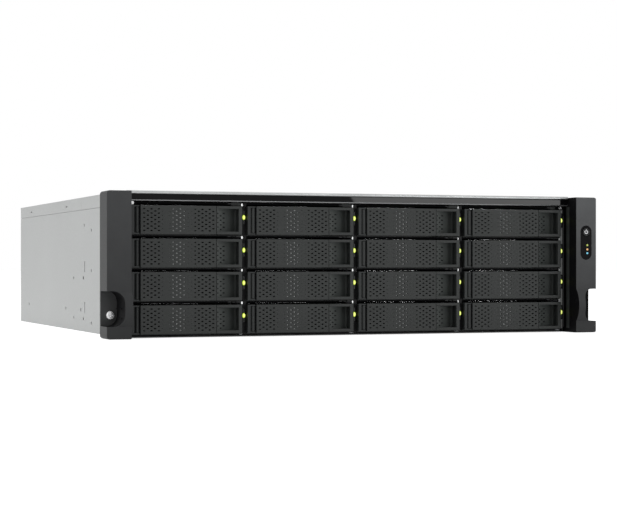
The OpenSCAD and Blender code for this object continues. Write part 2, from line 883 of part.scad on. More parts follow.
module fan_rotor(k) {
  color("#26282a") in_frame() {
    depth = fan_d - 5 - 2 * run_gap - 2;
    translate([fan_x(k), fan_wall_y + sheet + 2 + run_gap, fan_z])
      rotor(fan_bore - 1.2, hub_r, depth, fan_blades, shaft_r, depth - 1, depth + 4);
  }
}

module fan_rotor_left() {
  fan_rotor(0);
}

module fan_rotor_middle() {
  fan_rotor(1);
}

module fan_rotor_right() {
  fan_rotor(2);
}

// ---------------------------------------------------------------- main board

cpu_x = board_x + 100;
cpu_y = board_front + 90;
dimm_x = board_x + 214;
dimm_y = board_front + 30;

module mainboard() {
  color("darkgreen") in_frame() {
    box([board_x, board_front, board_z], [board_x + board_w, board_front + board_l, board_top]);
    for (i = [0 : 3]) {
      box([dimm_x + 11 * i, dimm_y, board_top], [dimm_x + 11 * i + 6, dimm_y + 142, board_top + 8]);
    }
    for (k = [0 : 1]) {
      box([slot_x + 2 + slot_pitch * k, case_d - 140, board_top], [slot_x + 10 + slot_pitch * k, case_d - 50, board_top + 11]);
    }
    for (y = [20 : 22 : 86]) {
      box([board_x + 14, board_front + y, board_top], [board_x + 44, board_front + y + 14, board_top + 9]);
    }
    for (i = [0 : 5]) {
      translate([board_x + 150, board_front + 52 + 10 * i, board_top]) cylinder(r = 4, h = 10);
    }
  }
}

module cpu_cooler() {
  w = 80;
  fin = 0.8;
  pitch = 3.3;
  color("silver") in_frame() translate([cpu_x - w / 2, cpu_y - w / 2, board_top]) {
    box([10, 10, 0], [w - 10, w - 10, 6 + eps]);
    box([0, 0, 6], [w, w, 10 + eps]);
    for (i = [0 : floor((w - fin) / pitch)]) {
      box([i * pitch, 0, 10], [i * pitch + fin, w, 52]);
    }
  }
}

module memory_modules() {
  color("seagreen") in_frame() {
    for (i = [0 : dimm_count - 1]) {
      x = dimm_x + 11 * i + 3;
      box([x - 0.6, dimm_y + 4, board_top + 8], [x + 0.6, dimm_y + 137.4, board_top + 35]);
      for (j = [0 : 7]) {
        box([x + 0.6 - eps, dimm_y + 9 + 16 * j, board_top + 16], [x + 1.8, dimm_y + 20 + 16 * j, board_top + 28]);
      }
    }
  }
}

module network_port(x) {
  box([x, case_d - 22, board_top], [x + 16, case_d + 0.6, board_top + 13.5]);
}

module network_mouth(x) {
  box([x + 2.2, case_d - 12, board_top + 2], [x + 13.8, case_d + 1, board_top + 10.5]);
}

module usb_port(z) {
  box([usb_x, case_d - 18, z], [usb_x + 14, case_d + 0.6, z + 7.1]);
}

module usb_mouth(z) {
  difference() {
    box([usb_x + 0.7, case_d - 12, z + 0.7], [usb_x + 13.3, case_d + 1, z + 6.3]);
    box([usb_x + 1.5, case_d - 13, z + 3], [usb_x + 12.5, case_d - 1, z + 4.6]);
  }
}

// the shield plate closes the rear panel's window round the ports
module rear_ports() {
  color("silver") in_frame() difference() {
    union() {
      box([shield_x + seat_gap, case_d - sheet, board_top - 1 + seat_gap],
          [shield_x + shield_w - seat_gap, case_d - 0.2, board_top + shield_h - seat_gap]);
      for (i = [0 : 3]) {
        network_port(port_x + port_pitch * i);
      }
      network_port(console_x);
      usb_port(board_top);
      usb_port(board_top + 7);
      box([port_x, case_d - 22, board_top + 13], [port_x + 34, case_d + 0.6, board_top + 26]);
    }
    for (i = [0 : 3]) {
      network_mouth(port_x + port_pitch * i);
    }
    network_mouth(console_x);
    usb_mouth(board_top);
    usb_mouth(board_top + 7);
    box([port_x + 2, case_d - 10, board_top + 16.2], [port_x + 32, case_d + 1, board_top + 24]);
    for (i = [0 : 9]) {
      box([port_x + 44 + 8 * i, case_d - 3, board_top + 32], [port_x + 48 + 8 * i, case_d + 1, board_top + 40]);
    }
  }
}

// ---------------------------------------------------------------- power supplies

module psu_cage() {
  x0 = psu_x - run_gap - cage_t;
  x1 = psu_x + psu_w + run_gap;
  y0 = case_d - psu_l - 26;
  top = psu_floor(1) + psu_h + run_gap;
  color("silver") in_frame() {
    for (x = [x0, x1]) {
      box([x, y0, floor_top], [x + cage_t, case_d - sheet, top + cage_t]);
    }
    box([x0, y0, top], [x1 + cage_t, case_d - sheet, top + cage_t]);
    box([x0, y0, psu_floor(0) - seat_gap - cage_t], [x1 + cage_t, case_d - sheet, psu_floor(0) - seat_gap]);
    box([x0, y0, psu_floor(1) - seat_gap - cage_t], [x1 + cage_t, case_d - sheet, psu_floor(1) - seat_gap]);
    // distribution board across the front end
    box([x0, y0 - board_t, floor_top + 4], [x1 + cage_t, y0, top + cage_t]);
    for (k = [0 : 1]) {
      box([psu_x + 12, y0, psu_floor(k) + 6], [psu_x + 60, case_d - psu_l - 12, psu_floor(k) + 16]);
    }
  }
}

// places a power supply's own drawing: x and z from its corner, y = 0 at its rear face
module in_psu(k) {
  in_frame() translate([psu_x, psu_back, psu_floor(k)]) children();
}

module psu_handle() {
  bar = 4;
  x0 = 3;
  x1 = 33;
  difference() {
    along_y(-eps, handle_l) translate([x0, 3]) square([bar, psu_h - 6]);
    along_x(x0 - 1, x0 + bar + 1) translate([-1, 7]) square([handle_l - 3, psu_h - 14]);
  }
}

module psu_body() {
  difference() {
    box([0, -psu_l, 0], [psu_w, 0, psu_h]);
    // fan duct with its bearing, mains inlet and the slot of the release tab
    rod_y(psu_fan_x, psu_fan_z, -20, 1, psu_fan_r);
    rod_y(psu_fan_x, psu_fan_z, -26, -19, psu_shaft_r + pin_gap);
    box([10, -16, 6], [31, 1, 30]);
    box([latch_x, -32, latch_z - 4], [latch_x + latch_w, 1, psu_h + 1]);
  }
  rod_x(latch_x - eps, latch_x + latch_w + eps, latch_pin_y, latch_z, latch_pin_r);
  difference() {
    box([12, -16 - eps, 8], [29, -3, 28]);
    box([13.5, -12, 9.5], [27.5, -2, 26.5]);
  }
  for (z = [13, 18, 23]) {
    box([18, -12.5, z - 1], [22, -5, z + 1]);
  }
  box([12, -psu_l - 11, 7], [60, -psu_l + eps, 8.6]);
  psu_handle();
}

module psu_upper() {
  color("silver") in_psu(1) psu_body();
}

module psu_lower() {
  color("silver") in_psu(0) psu_body();
}

// the sprung release tab turns on the pin at its inner end
module psu_latch() {
  x0 = latch_x + run_gap;
  x1 = latch_x + latch_w - run_gap;
  difference() {
    union() {
      rod_x(x0, x1, latch_pin_y, latch_z, latch_pin_r + 1);
      box([x0, latch_pin_y, latch_z - 0.7], [x1, latch_l, latch_z + 0.7]);
      box([x0, latch_l - 1.4, latch_z - 4], [x1, latch_l, latch_z + eps]);
    }
    rod_x(x0 - 1, x1 + 1, latch_pin_y, latch_z, latch_pin_r + pin_gap);
  }
}

module psu_upper_latch() {
  color("green") in_psu(1) psu_latch();
}

module psu_lower_latch() {
  color("green") in_psu(0) psu_latch();
}

module psu_fan() {
  translate([psu_fan_x, -18, psu_fan_z]) rotor(psu_fan_r - 0.8, 8, 14, 5, psu_shaft_r, -6, 1);
}

module psu_upper_fan() {
  color("#26282a") in_psu(1) psu_fan();
}

module psu_lower_fan() {
  color("#26282a") in_psu(0) psu_fan();
}

base_tray();
rear_panel();
front_roof();
front_bar();
drive_cage();
backplane();
fan_wall();
fan_rotor_left();
fan_rotor_middle();
fan_rotor_right();
mainboard();
cpu_cooler();
memory_modules();
rear_ports();
psu_cage();
psu_upper();
psu_lower();
psu_upper_latch();
psu_lower_latch();
psu_upper_fan();
psu_lower_fan();
left_ear();
right_ear();
drive_lights();
status_lights();
power_button();
rear_lid();
rack_screws();
for (n = [1 : bay_cols * bay_rows]) {
  name = str(n < 10 ? "0" : "", n);
  carrier(n);
  lever(n);
}
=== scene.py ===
"""Looks of a rack-mount network attached storage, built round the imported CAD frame."""
import math

import bmesh
import bpy
from mathutils import Matrix, Quaternion, Vector


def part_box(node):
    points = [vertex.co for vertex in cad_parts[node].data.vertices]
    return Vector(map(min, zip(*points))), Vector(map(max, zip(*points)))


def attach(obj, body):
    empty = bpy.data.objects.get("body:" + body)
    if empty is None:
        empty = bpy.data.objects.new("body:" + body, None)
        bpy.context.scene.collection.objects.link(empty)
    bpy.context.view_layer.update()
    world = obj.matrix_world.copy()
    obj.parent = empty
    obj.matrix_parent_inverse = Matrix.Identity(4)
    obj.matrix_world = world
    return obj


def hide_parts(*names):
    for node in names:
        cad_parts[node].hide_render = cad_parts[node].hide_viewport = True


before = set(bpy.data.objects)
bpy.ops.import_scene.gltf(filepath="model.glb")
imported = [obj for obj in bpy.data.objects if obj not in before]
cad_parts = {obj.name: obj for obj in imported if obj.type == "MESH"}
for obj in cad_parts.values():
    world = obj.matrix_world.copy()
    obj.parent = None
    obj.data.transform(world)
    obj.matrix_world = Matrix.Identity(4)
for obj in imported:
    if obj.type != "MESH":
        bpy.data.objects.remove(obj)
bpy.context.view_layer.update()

MM = 0.001
SCENE = bpy.context.scene
SCENE.view_settings.view_transform = "Standard"

# two boxes of the CAD frame give the front of the ears and the case's top
tray_low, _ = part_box("base_tray")
_, lid_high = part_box("rear_lid")
FRONT = tray_low.y - 27.5 * MM
FADE_FOOT, FADE_TOP = 20 * MM, lid_high.z - 6 * MM

# These lengths, and those in the paint rules and the shapes, are millimetres: x from the middle
# of the case, y from the front of the ears, z from the underside. The camera, the lights, the
# stage and the materials are in metres.
BAYS = range(1, 17)
BAY_W = 108.0
CAGE_RIGHT = 216            # right wall of the last column of bays
BARREL_INSET = 4.4          # from a bay's left wall to its lever's barrel
CARRIER_X = 1.7             # from a bay's left wall to its carrier
CARRIER_W = 103.9
HINGE_X, HINGE_Y = 5.2, 19.6    # a lever's hinge axis, x from its carrier's left side
DRIVE_LEFT, DRIVE_RIGHT = 2.85, 104.45      # a drive's sides, from its bay's left wall
DRIVE_TOP = 25.85           # above a bay's floor
BOARD_TOP = 9.8
SIDE_FACE = 219.9           # just inside the case's side wall
REAR_FACE = 521.0
STANDBY_X, STANDBY_Z = 229.7, 96.7


def at(x, y, z):
    """A point in millimetres, with y counted from the front of the rack ears."""
    return Vector((x * MM, FRONT + y * MM, z * MM))


# ------------------------------------------------------------------ camera

FOCAL_PX = 1702.0
PHOTO_W = 617.0
CAMERA_YAW = math.radians(20.03)
CAMERA_AT = at(-582.8, -1448.3, 64.9)
SENSOR = 36.0


def make_camera():
    data = bpy.data.cameras.new("camera")
    data.sensor_width = SENSOR
    data.lens = FOCAL_PX / PHOTO_W * SENSOR
    data.clip_start = 0.05
    data.clip_end = 50
    camera = bpy.data.objects.new("camera", data)
    camera.location = CAMERA_AT
    camera.rotation_euler = (math.radians(90), 0, -CAMERA_YAW)
    SCENE.collection.objects.link(camera)
    SCENE.camera = camera


# ------------------------------------------------------------------ materials

class Nodes:
    """A material's node tree, with short calls for the nodes used here."""

    def __init__(self, name):
        self.material = bpy.data.materials.new(name)
        self.material.use_nodes = True
        self.tree = self.material.node_tree
        self.shader = self.tree.nodes["Principled BSDF"]
        self.output = self.tree.nodes["Material Output"]
        self.coords = self.add("ShaderNodeTexCoord").outputs["Object"]

    def add(self, kind, **values):
        node = self.tree.nodes.new(kind)
        for key, value in values.items():
            if key in node.inputs:
                node.inputs[key].default_value = value
            else:
                setattr(node, key, value)
        return node

    def link(self, source, target):
        self.tree.links.new(source, target)

    def set(self, **values):
        for key, value in values.items():
            self.shader.inputs[key.replace("_", " ")].default_value = value

    def scaled(self, x, y, z, turn=(0, 0, 0)):
        mapping = self.add("ShaderNodeMapping", Scale=(x, y, z), Rotation=turn)
        self.link(self.coords, mapping.inputs["Vector"])
        return mapping.outputs["Vector"]

    def noise(self, scale, detail=2.0, vector=None, rough=0.5):
        node = self.add("ShaderNodeTexNoise", Scale=scale, Detail=detail, Roughness=rough)
        self.link(vector or self.coords, node.inputs["Vector"])
        return node.outputs["Fac"]

    def spread(self, value, low, high, from_low=0.3, from_high=0.7):
        node = self.add("ShaderNodeMapRange")
        node.inputs["From Min"].default_value = from_low
        node.inputs["From Max"].default_value = from_high
        node.inputs["To Min"].default_value = low
        node.inputs["To Max"].default_value = high
        self.link(value, node.inputs["Value"])
        return node.outputs["Result"]

    def math(self, operation, a, b):
        node = self.add("ShaderNodeMath", operation=operation)
        for value, socket in ((a, node.inputs[0]), (b, node.inputs[1])):
            if isinstance(value, (int, float)):
                socket.default_value = value
            else:
                self.link(value, socket)
        return node.outputs[0]

    def mix(self, factor, a, b):
        node = self.add("ShaderNodeMix", data_type="RGBA")
        for value, socket in ((factor, node.inputs[0]), (a, node.inputs[6]), (b, node.inputs[7])):
            if isinstance(value, (int, float)):
                socket.default_value = value
            elif isinstance(value, tuple):
                socket.default_value = (*value, 1)
            else:
                self.link(value, socket)
        return node.outputs[2]

    def edges(self, radius):
        """0 on flat faces, 1 on the worn edges."""
        bevel = self.add("ShaderNodeBevel", samples=4, Radius=radius)
        geometry = self.add("ShaderNodeNewGeometry")
        dot = self.add("ShaderNodeVectorMath", operation="DOT_PRODUCT")
        self.link(bevel.outputs[0], dot.inputs[0])
        self.link(geometry.outputs["Normal"], dot.inputs[1])
        return self.spread(dot.outputs["Value"], 1, 0, 0.75, 0.99), bevel.outputs[0]

    def bump(self, height, strength, distance, normal=None):
        node = self.add("ShaderNodeBump", Strength=strength, Distance=distance)
        self.link(height, node.inputs["Height"])
        if normal is not None:
            self.link(normal, node.inputs["Normal"])
        self.link(node.outputs["Normal"], self.shader.inputs["Normal"])


def tone(color, factor):
    return tuple(min(1.0, c * factor) for c in color)


def moulded(name, color, rough=0.5, grain=2600, depth=0.012, edge=0.25 * MM, lift=1.5, spec=0.3,
            fade=None):
    """Textured plastic: fine grain, slight mottling, edges a little lighter. A fade of (low,
    high) changes the tone from the foot of the object to its top."""
    n = Nodes(name)
    mottling = n.spread(n.noise(60, 4), 0.0, 1.0)
    dark, pale = tone(color, 0.93), tone(color, 1.07)
    if fade:
        axes = n.add("ShaderNodeSeparateXYZ")
        n.link(n.coords, axes.inputs[0])
        height = n.spread(axes.outputs["Z"], 0, 1, FADE_FOOT, FADE_TOP)
        dark = n.mix(height, tone(dark, fade[0]), tone(dark, fade[1]))
        pale = n.mix(height, tone(pale, fade[0]), tone(pale, fade[1]))
    base = n.mix(mottling, dark, pale)
    worn, rounded = n.edges(edge)
    n.link(n.mix(worn, base, tone(color, lift)), n.shader.inputs["Base Color"])
    n.link(n.spread(n.noise(900, 3), rough - 0.05, rough + 0.06), n.shader.inputs["Roughness"])
    n.bump(n.noise(grain, 2), depth, 0.5 * MM, rounded)
    n.set(Specular_IOR_Level=spec)
    return n.material


def painted(name, color, rough=0.42, metallic=0.1):
    """Powder coat on sheet steel: orange peel and a very slight drift of tone."""
    n = Nodes(name)
    drift = n.spread(n.noise(7, 3), 0.0, 1.0)
    worn, rounded = n.edges(0.3 * MM)
    base = n.mix(drift, tone(color, 0.97), tone(color, 1.03))
    n.link(n.mix(worn, base, tone(color, 1.12)), n.shader.inputs["Base Color"])
    n.link(n.spread(n.noise(400, 3), rough - 0.05, rough + 0.05), n.shader.inputs["Roughness"])
    n.bump(n.noise(1100, 3), 0.03, 0.2 * MM, rounded)
    n.set(Metallic=metallic, Specular_IOR_Level=0.4)
    return n.material


def metal(name, color, rough=0.35, stretch=(1, 60, 60), scale=60, wear=1.15, depth=0.02):
    """Brushed or rolled metal, its grain along the axis with the small stretch."""
    n = Nodes(name)
    grain = n.noise(scale, 4, n.scaled(*stretch), 0.6)
    patch = n.noise(25, 3)
    worn, rounded = n.edges(0.2 * MM)
    base = n.mix(n.spread(patch, 0, 1), tone(color, 0.9), tone(color, 1.06))
    n.link(n.mix(worn, base, tone(color, wear)), n.shader.inputs["Base Color"])
    n.link(n.spread(grain, rough - 0.08, rough + 0.1), n.shader.inputs["Roughness"])
    n.bump(grain, depth, 0.1 * MM, rounded)
    n.set(Metallic=1.0)
    return n.material


def gloss(name, color, rough=0.08, spec=0.5, haze_rough=0.05):
    """Polished plastic with faint waviness."""
    n = Nodes(name)
    haze = n.noise(45, 3)
    base = n.mix(n.spread(haze, 0, 1), tone(color, 0.9), tone(color, 1.1))
    n.link(base, n.shader.inputs["Base Color"])
    n.link(n.spread(n.noise(300, 2), rough, rough + haze_rough), n.shader.inputs["Roughness"])
    _, rounded = n.edges(0.3 * MM)
    n.bump(haze, 0.1 * haze_rough, 1 * MM, rounded)
    n.set(Specular_IOR_Level=spec)
    return n.material


def circuit(name, color):
    """Solder mask over copper: fine parallel tracks, vias and a slight gloss."""
    n = Nodes(name)
    across = n.add("ShaderNodeTexWave", Scale=160.0, Distortion=6.0, Detail=1.0,
                   bands_direction="X")
    n.link(n.coords, across.inputs["Vector"])
    tracks = n.spread(across.outputs["Fac"], 0, 1, 0.45, 0.6)
    zone = n.spread(n.noise(45, 2), 0, 1, 0.48, 0.54)
    vias = n.add("ShaderNodeTexVoronoi", Scale=220.0)
    n.link(n.coords, vias.inputs["Vector"])
    dots = n.spread(vias.outputs["Distance"], 1, 0, 0.1, 0.16)
    base = n.mix(n.math("MULTIPLY", tracks, zone), color, tone(color, 2.1))
    n.link(n.mix(dots, base, (0.55, 0.5, 0.32)), n.shader.inputs["Base Color"])
    n.bump(tracks, 0.05, 0.05 * MM)
    n.set(Roughness=0.35, Specular_IOR_Level=0.45)
    return n.material


def glowing(name, color, glow, strength):
    """A lit lens, a little duller where the noise thins it."""
    n = Nodes(name)
    cloud = n.spread(n.noise(500, 2), 0.85, 1.1)
    n.link(n.mix(cloud, tone(glow, 0.8), glow), n.shader.inputs["Emission Color"])
    n.set(Emission_Strength=strength, Roughness=0.25)
    n.shader.inputs["Base Color"].default_value = (*color, 1)
    return n.material


M = {}


def make_materials():
    M["panel_paint"] = painted("panel_paint", (0.44, 0.452, 0.448))
    M["roof_paint"] = metal("roof_paint", (0.36, 0.37, 0.37), 0.3, (1, 60, 60), 30, 1.1, 0.003)
    M["zinc"] = metal("zinc", (0.62, 0.63, 0.64), 0.34)
    # a paler, rougher copy of the zinc for the tabs at the bays' walls: painted highlight
    M["zinc_highlight"] = metal("zinc_highlight", (0.75, 0.76, 0.76), 0.45)
    M["screw"] = metal("screw", (0.78, 0.78, 0.79), 0.22, (1, 1, 1), 200)
    M["aluminium"] = metal("aluminium", (0.72, 0.73, 0.74), 0.32)
    M["drive_case"] = metal("drive_case", (0.42, 0.43, 0.44), 0.45, (1, 1, 1), 500, 1.3, 0.05)
    M["drive_lid"] = metal("drive_lid", (0.50, 0.51, 0.52), 0.45, (60, 1, 60))
    M["tray_plastic"] = moulded("tray_plastic", (0.0214, 0.0237, 0.0228))
    M["dull_steel"] = painted("dull_steel", (0.10, 0.103, 0.104), 0.45, 0.4)
    # a paler copy of the dark steel for the flange's front faces in the ear pocket: painted light
    M["flange_lit_steel"] = painted("flange_lit_steel", (0.044, 0.045, 0.046), 0.5, 0.1)
    # steel colour for the black bar's lower chamfer: a painted highlight line
    M["lip_highlight_steel"] = metal("lip_highlight_steel", (0.30, 0.305, 0.31), 0.35)
    # the scoop's plastic is a paler copy of the lever's: painted light on the recessed scoop
    M["scoop_lit_plastic"] = moulded("scoop_lit_plastic", (0.058, 0.064, 0.061))
    M["barrel_plastic"] = moulded("barrel_plastic", (0.022, 0.024, 0.0235))
    # a much darker copy of the ear's plastic for the inside of the grip pocket: painted shade
    M["pocket_shade_plastic"] = moulded("pocket_shade_plastic", (0.0045, 0.0045, 0.005), 0.6, 3000, 0.008,
                                  0.3 * MM, 1.4, 0.04)
    M["frame_plastic"] = moulded("frame_plastic", (0.016, 0.018, 0.018), 0.5)
    # the ears' fronts grow paler from foot to top: the photo's light on them, painted, since
    # the plain lights of this scene don't give it
    for name, fade in (("ear_plastic", None), ("ear_front_left", (0.84, 1.5)),
                       ("ear_front_right", (0.95, 3.0))):
        M[name] = moulded(name, (0.034, 0.035, 0.036), 0.55, 3000, 0.006, 0.5 * MM, 1.1, 0.2, fade)
    # a dark, dull plastic for the drives' fronts and the plates behind the gaps between rows:
    # painted shade
    M["drive_front_shade"] = moulded("drive_front_shade", (0.017, 0.018, 0.018), 0.6, lift=1.0, spec=0.04)
    M["edge_steel"] = painted("edge_steel", (0.28, 0.285, 0.285), 0.5, 0.2)
    M["dark_steel"] = painted("dark_steel", (0.02, 0.021, 0.022), 0.5, 0.2)
    M["fan_plastic"] = moulded("fan_plastic", (0.012, 0.012, 0.014), 0.38)
    M["fan_frame"] = moulded("fan_frame", (0.016, 0.016, 0.018), 0.5)
    M["black_plastic"] = moulded("black_plastic", (0.008, 0.008, 0.009), 0.45)
    M["bar_black"] = gloss("bar_black", (0.0035, 0.0035, 0.004), 0.015, 0.12, 0.01)
    M["pill_black"] = gloss("pill_black", (0.006, 0.006, 0.0065), 0.3, 0.03)
    M["window_black"] = gloss("window_black", (0.010, 0.010, 0.0105), 0.3, 0.1)
    M["groove_black"] = moulded("groove_black", (0.003, 0.003, 0.0035), 0.6, spec=0.05)
    M["board_green"] = circuit("board_green", (0.012, 0.075, 0.035))
    M["latch_green"] = moulded("latch_green", (0.02, 0.19, 0.07), 0.4)
    M["lime"] = glowing("lime", (0.3, 0.4, 0.03), (0.50, 0.72, 0.02), 0.85)
    M["lime_core"] = glowing("lime_core", (0.5, 0.6, 0.15), (0.90, 1.0, 0.24), 0.95)
    M["lamp_green"] = glowing("lamp_green", (0.10, 0.14, 0.02), (0.42, 0.50, 0.05), 0.7)
    M["lamp_orange"] = glowing("lamp_orange", (0.2, 0.1, 0.03), (0.80, 0.42, 0.14), 0.8)
    M["lamp_blue"] = glowing("lamp_blue", (0.03, 0.12, 0.2), (0.13, 0.55, 0.70), 0.8)
    M["label_grey"] = moulded("label_grey", (0.3, 0.3, 0.29), 0.6, 1800)
    M["mark_white"] = gloss("mark_white", (0.75, 0.76, 0.77), 0.3)
    M["gold"] = metal("gold", (0.85, 0.62, 0.25), 0.25)
    M["mesh_steel"] = metal("mesh_steel", (0.26, 0.265, 0.265), 0.5, (1, 1, 1), 900, 1.2, 0.05)
    M["chip"] = moulded("chip", (0.012, 0.012, 0.013), 0.35, 1500, 0.03)


# ------------------------------------------------------------------ CAD nodes

def paint(node, main, *rules):
    """Gives a CAD node its materials. A rule is (material, test), and its test gets a
    face's centre in millimetres, counted from the front of the ears, and its normal."""
    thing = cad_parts[node]
    mesh = thing.data
    names = [main] + [rule[0] for rule in rules]
    mesh.materials.clear()
    for name in names:
        mesh.materials.append(M[name])
    for face in mesh.polygons:
        c = face.center
        place = Vector((c.x / MM, (c.y - FRONT) / MM, c.z / MM))
        face.material_index = 0
        for index, (_, test) in enumerate(rules):
            if test(place, face.normal):
                face.material_index = index + 1


def paint_case():
    paint("base_tray", "panel_paint", ("zinc", lambda c, n: abs(c.x) < 218.7 and c.z > 0.1),
          ("dark_steel", lambda c, n: c.y < 28.01 and c.z < 3.3))
    paint("rear_panel", "panel_paint", ("zinc", lambda c, n: c.y > 521.1))
    paint("front_roof", "panel_paint", ("roof_paint", lambda c, n: c.y < 18.2))
    paint("rear_lid", "panel_paint", ("screw", lambda c, n: c.y > 522.5))
    paint("front_bar", "bar_black",
          # the bar's lower chamfer in steel colour: painted highlight on the black bar
          ("lip_highlight_steel", lambda c, n: n.z < -0.3 and n.y < -0.3 and c.z < 123),
          ("groove_black", lambda c, n: c.z < 121.99),
          ("screw", lambda c, n: c.z < 121.99 and c.y < 21.99))
    paint("drive_cage", "zinc", ("groove_black", lambda c, n: c.y < 28.05 and n.y < 0.5),
          # the tab edges at the bays' walls take the paler zinc: painted highlight
          ("zinc_highlight", lambda c, n: c.y < 24.05 and 2.15 < (CAGE_RIGHT - c.x) % BAY_W < 3.5))
    paint("backplane", "board_green", ("black_plastic", lambda c, n: c.y < 199.9))
    paint("fan_wall", "fan_frame", ("zinc", lambda c, n: c.y < 227.3))
    paint("psu_cage", "zinc", ("board_green", lambda c, n: c.y < 310.05),
          ("black_plastic", lambda c, n: 310.1 < c.y < 324.1 and 150 < c.x < 200))
    paint("rack_screws", "screw")


def paint_ears():
    def in_pocket(c, n):
        inside = 10.9 < c.z < 42.1 and 226.1 < abs(c.x) < 240.9 and c.y < 25.2
        return inside and (c.y > 0.5 or n.y > -0.5)

    for side in ("left", "right"):
        paint(f"{side}_ear", "ear_plastic",
              (f"ear_front_{side}", lambda c, n: n.y < -0.5 and c.y < 3),
              # the ears' inner sides are painted black: painted shade
              ("groove_black", lambda c, n: abs(c.x) < 219.95 and abs(n.x) > 0.9),
              ("dark_steel", lambda c, n: c.y > 25.01 or abs(c.x) < 218.9),
              # the pocket's inside is painted near black: painted shade in the recess
              ("pocket_shade_plastic", in_pocket),
              # the flange's front faces take the paler copy of the dark steel, painted light
              ("flange_lit_steel", lambda c, n: 24.9 < c.y < 25.4 and n.y < -0.9))


def paint_inside():
    paint("mainboard", "board_green", ("black_plastic", lambda c, n: c.z > 9.9))
    paint("cpu_cooler", "aluminium")
    paint("memory_modules", "board_green", ("chip", lambda c, n: (c.x - 8) % 11 > 3.65))
    paint("rear_ports", "zinc", ("black_plastic", lambda c, n: 508.9 < c.y < 520.9))
    for side in ("left", "middle", "right"):
        paint(f"fan_rotor_{side}", "fan_plastic")
    for floor in ("upper", "lower"):
        paint(f"psu_{floor}", "aluminium",
              ("black_plastic", lambda c, n: 504 < c.y < 520.9 and 148 < c.x < 171))
        paint(f"psu_{floor}_latch", "latch_green")
        paint(f"psu_{floor}_fan", "fan_plastic")


def bay_place(bay):
    """Left wall and floor of a bay, found from its lever."""
    low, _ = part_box(f"lever_{bay:02d}")
    corner = Vector((low.x - BARREL_INSET * MM, low.y, low.z))
    return corner.x / MM, corner.z / MM


def paint_bay(bay):
    wall, floor = bay_place(bay)
    left, right = wall + CARRIER_X, wall + CARRIER_X + CARRIER_W

    def from_hinge(c):
        return math.hypot(c.x - left - HINGE_X, c.y - HINGE_Y)

    def is_drive(c, n):
        return c.y > 42.9 and left + 1.05 < c.x < right - 1.05 and c.z > floor - 0.35

    def on_barrel(c):
        return from_hinge(c) < 2.6 and c.y < 19.7

    paint(f"carrier_{bay:02d}", "frame_plastic", ("drive_case", is_drive),
          ("drive_lid", lambda c, n: is_drive(c, n) and n.z > 0.9),
          # the drive's front face is painted dark: painted shade for the gap between rows
          ("drive_front_shade", lambda c, n: is_drive(c, n) and c.y < 43.05 and n.y < -0.9),
          ("dark_steel", lambda c, n: from_hinge(c) < 0.93))
    paint(f"lever_{bay:02d}", "tray_plastic",
          # the scoop takes the paler copy of the lever's plastic, painted light
          ("scoop_lit_plastic", lambda c, n: c.x - left > 78.2 and c.y > 17.3 and n.y < -0.4),
          # the barrel's right half is painted black, a painted shade for the gap to the panel; its
          # left half takes a near copy of the lever's plastic
          ("groove_black", lambda c, n: on_barrel(c) and n.x > 0.15),
          ("barrel_plastic", lambda c, n: on_barrel(c) and n.x < -0.15))


LAMP_X, LAMP_R = 231.2, 0.96
LAMPS = (("lamp_green", 84.0), ("lamp_orange", 79.9), ("lamp_blue", 76.3))


def paint_lights():
    def lamp_at(z):
        return lambda c, n: math.hypot(c.x - LAMP_X, c.z - z) < LAMP_R and c.y < 0.7

    paint("drive_lights", "lime")
    paint("status_lights", "pill_black", *((name, lamp_at(z)) for name, z in LAMPS))
    paint("power_button", "pill_black")


# ------------------------------------------------------------------ mesh making

AXES = {"x": Vector((1, 0, 0)), "y": Vector((0, 1, 0)), "z": Vector((0, 0, 1))}


def directions(axis):
    """The unit vector along an axis, and two across it."""
    along = AXES[axis]
    side = AXES["x"] if axis == "z" else AXES["z"]
    return along, side, along.cross(side)


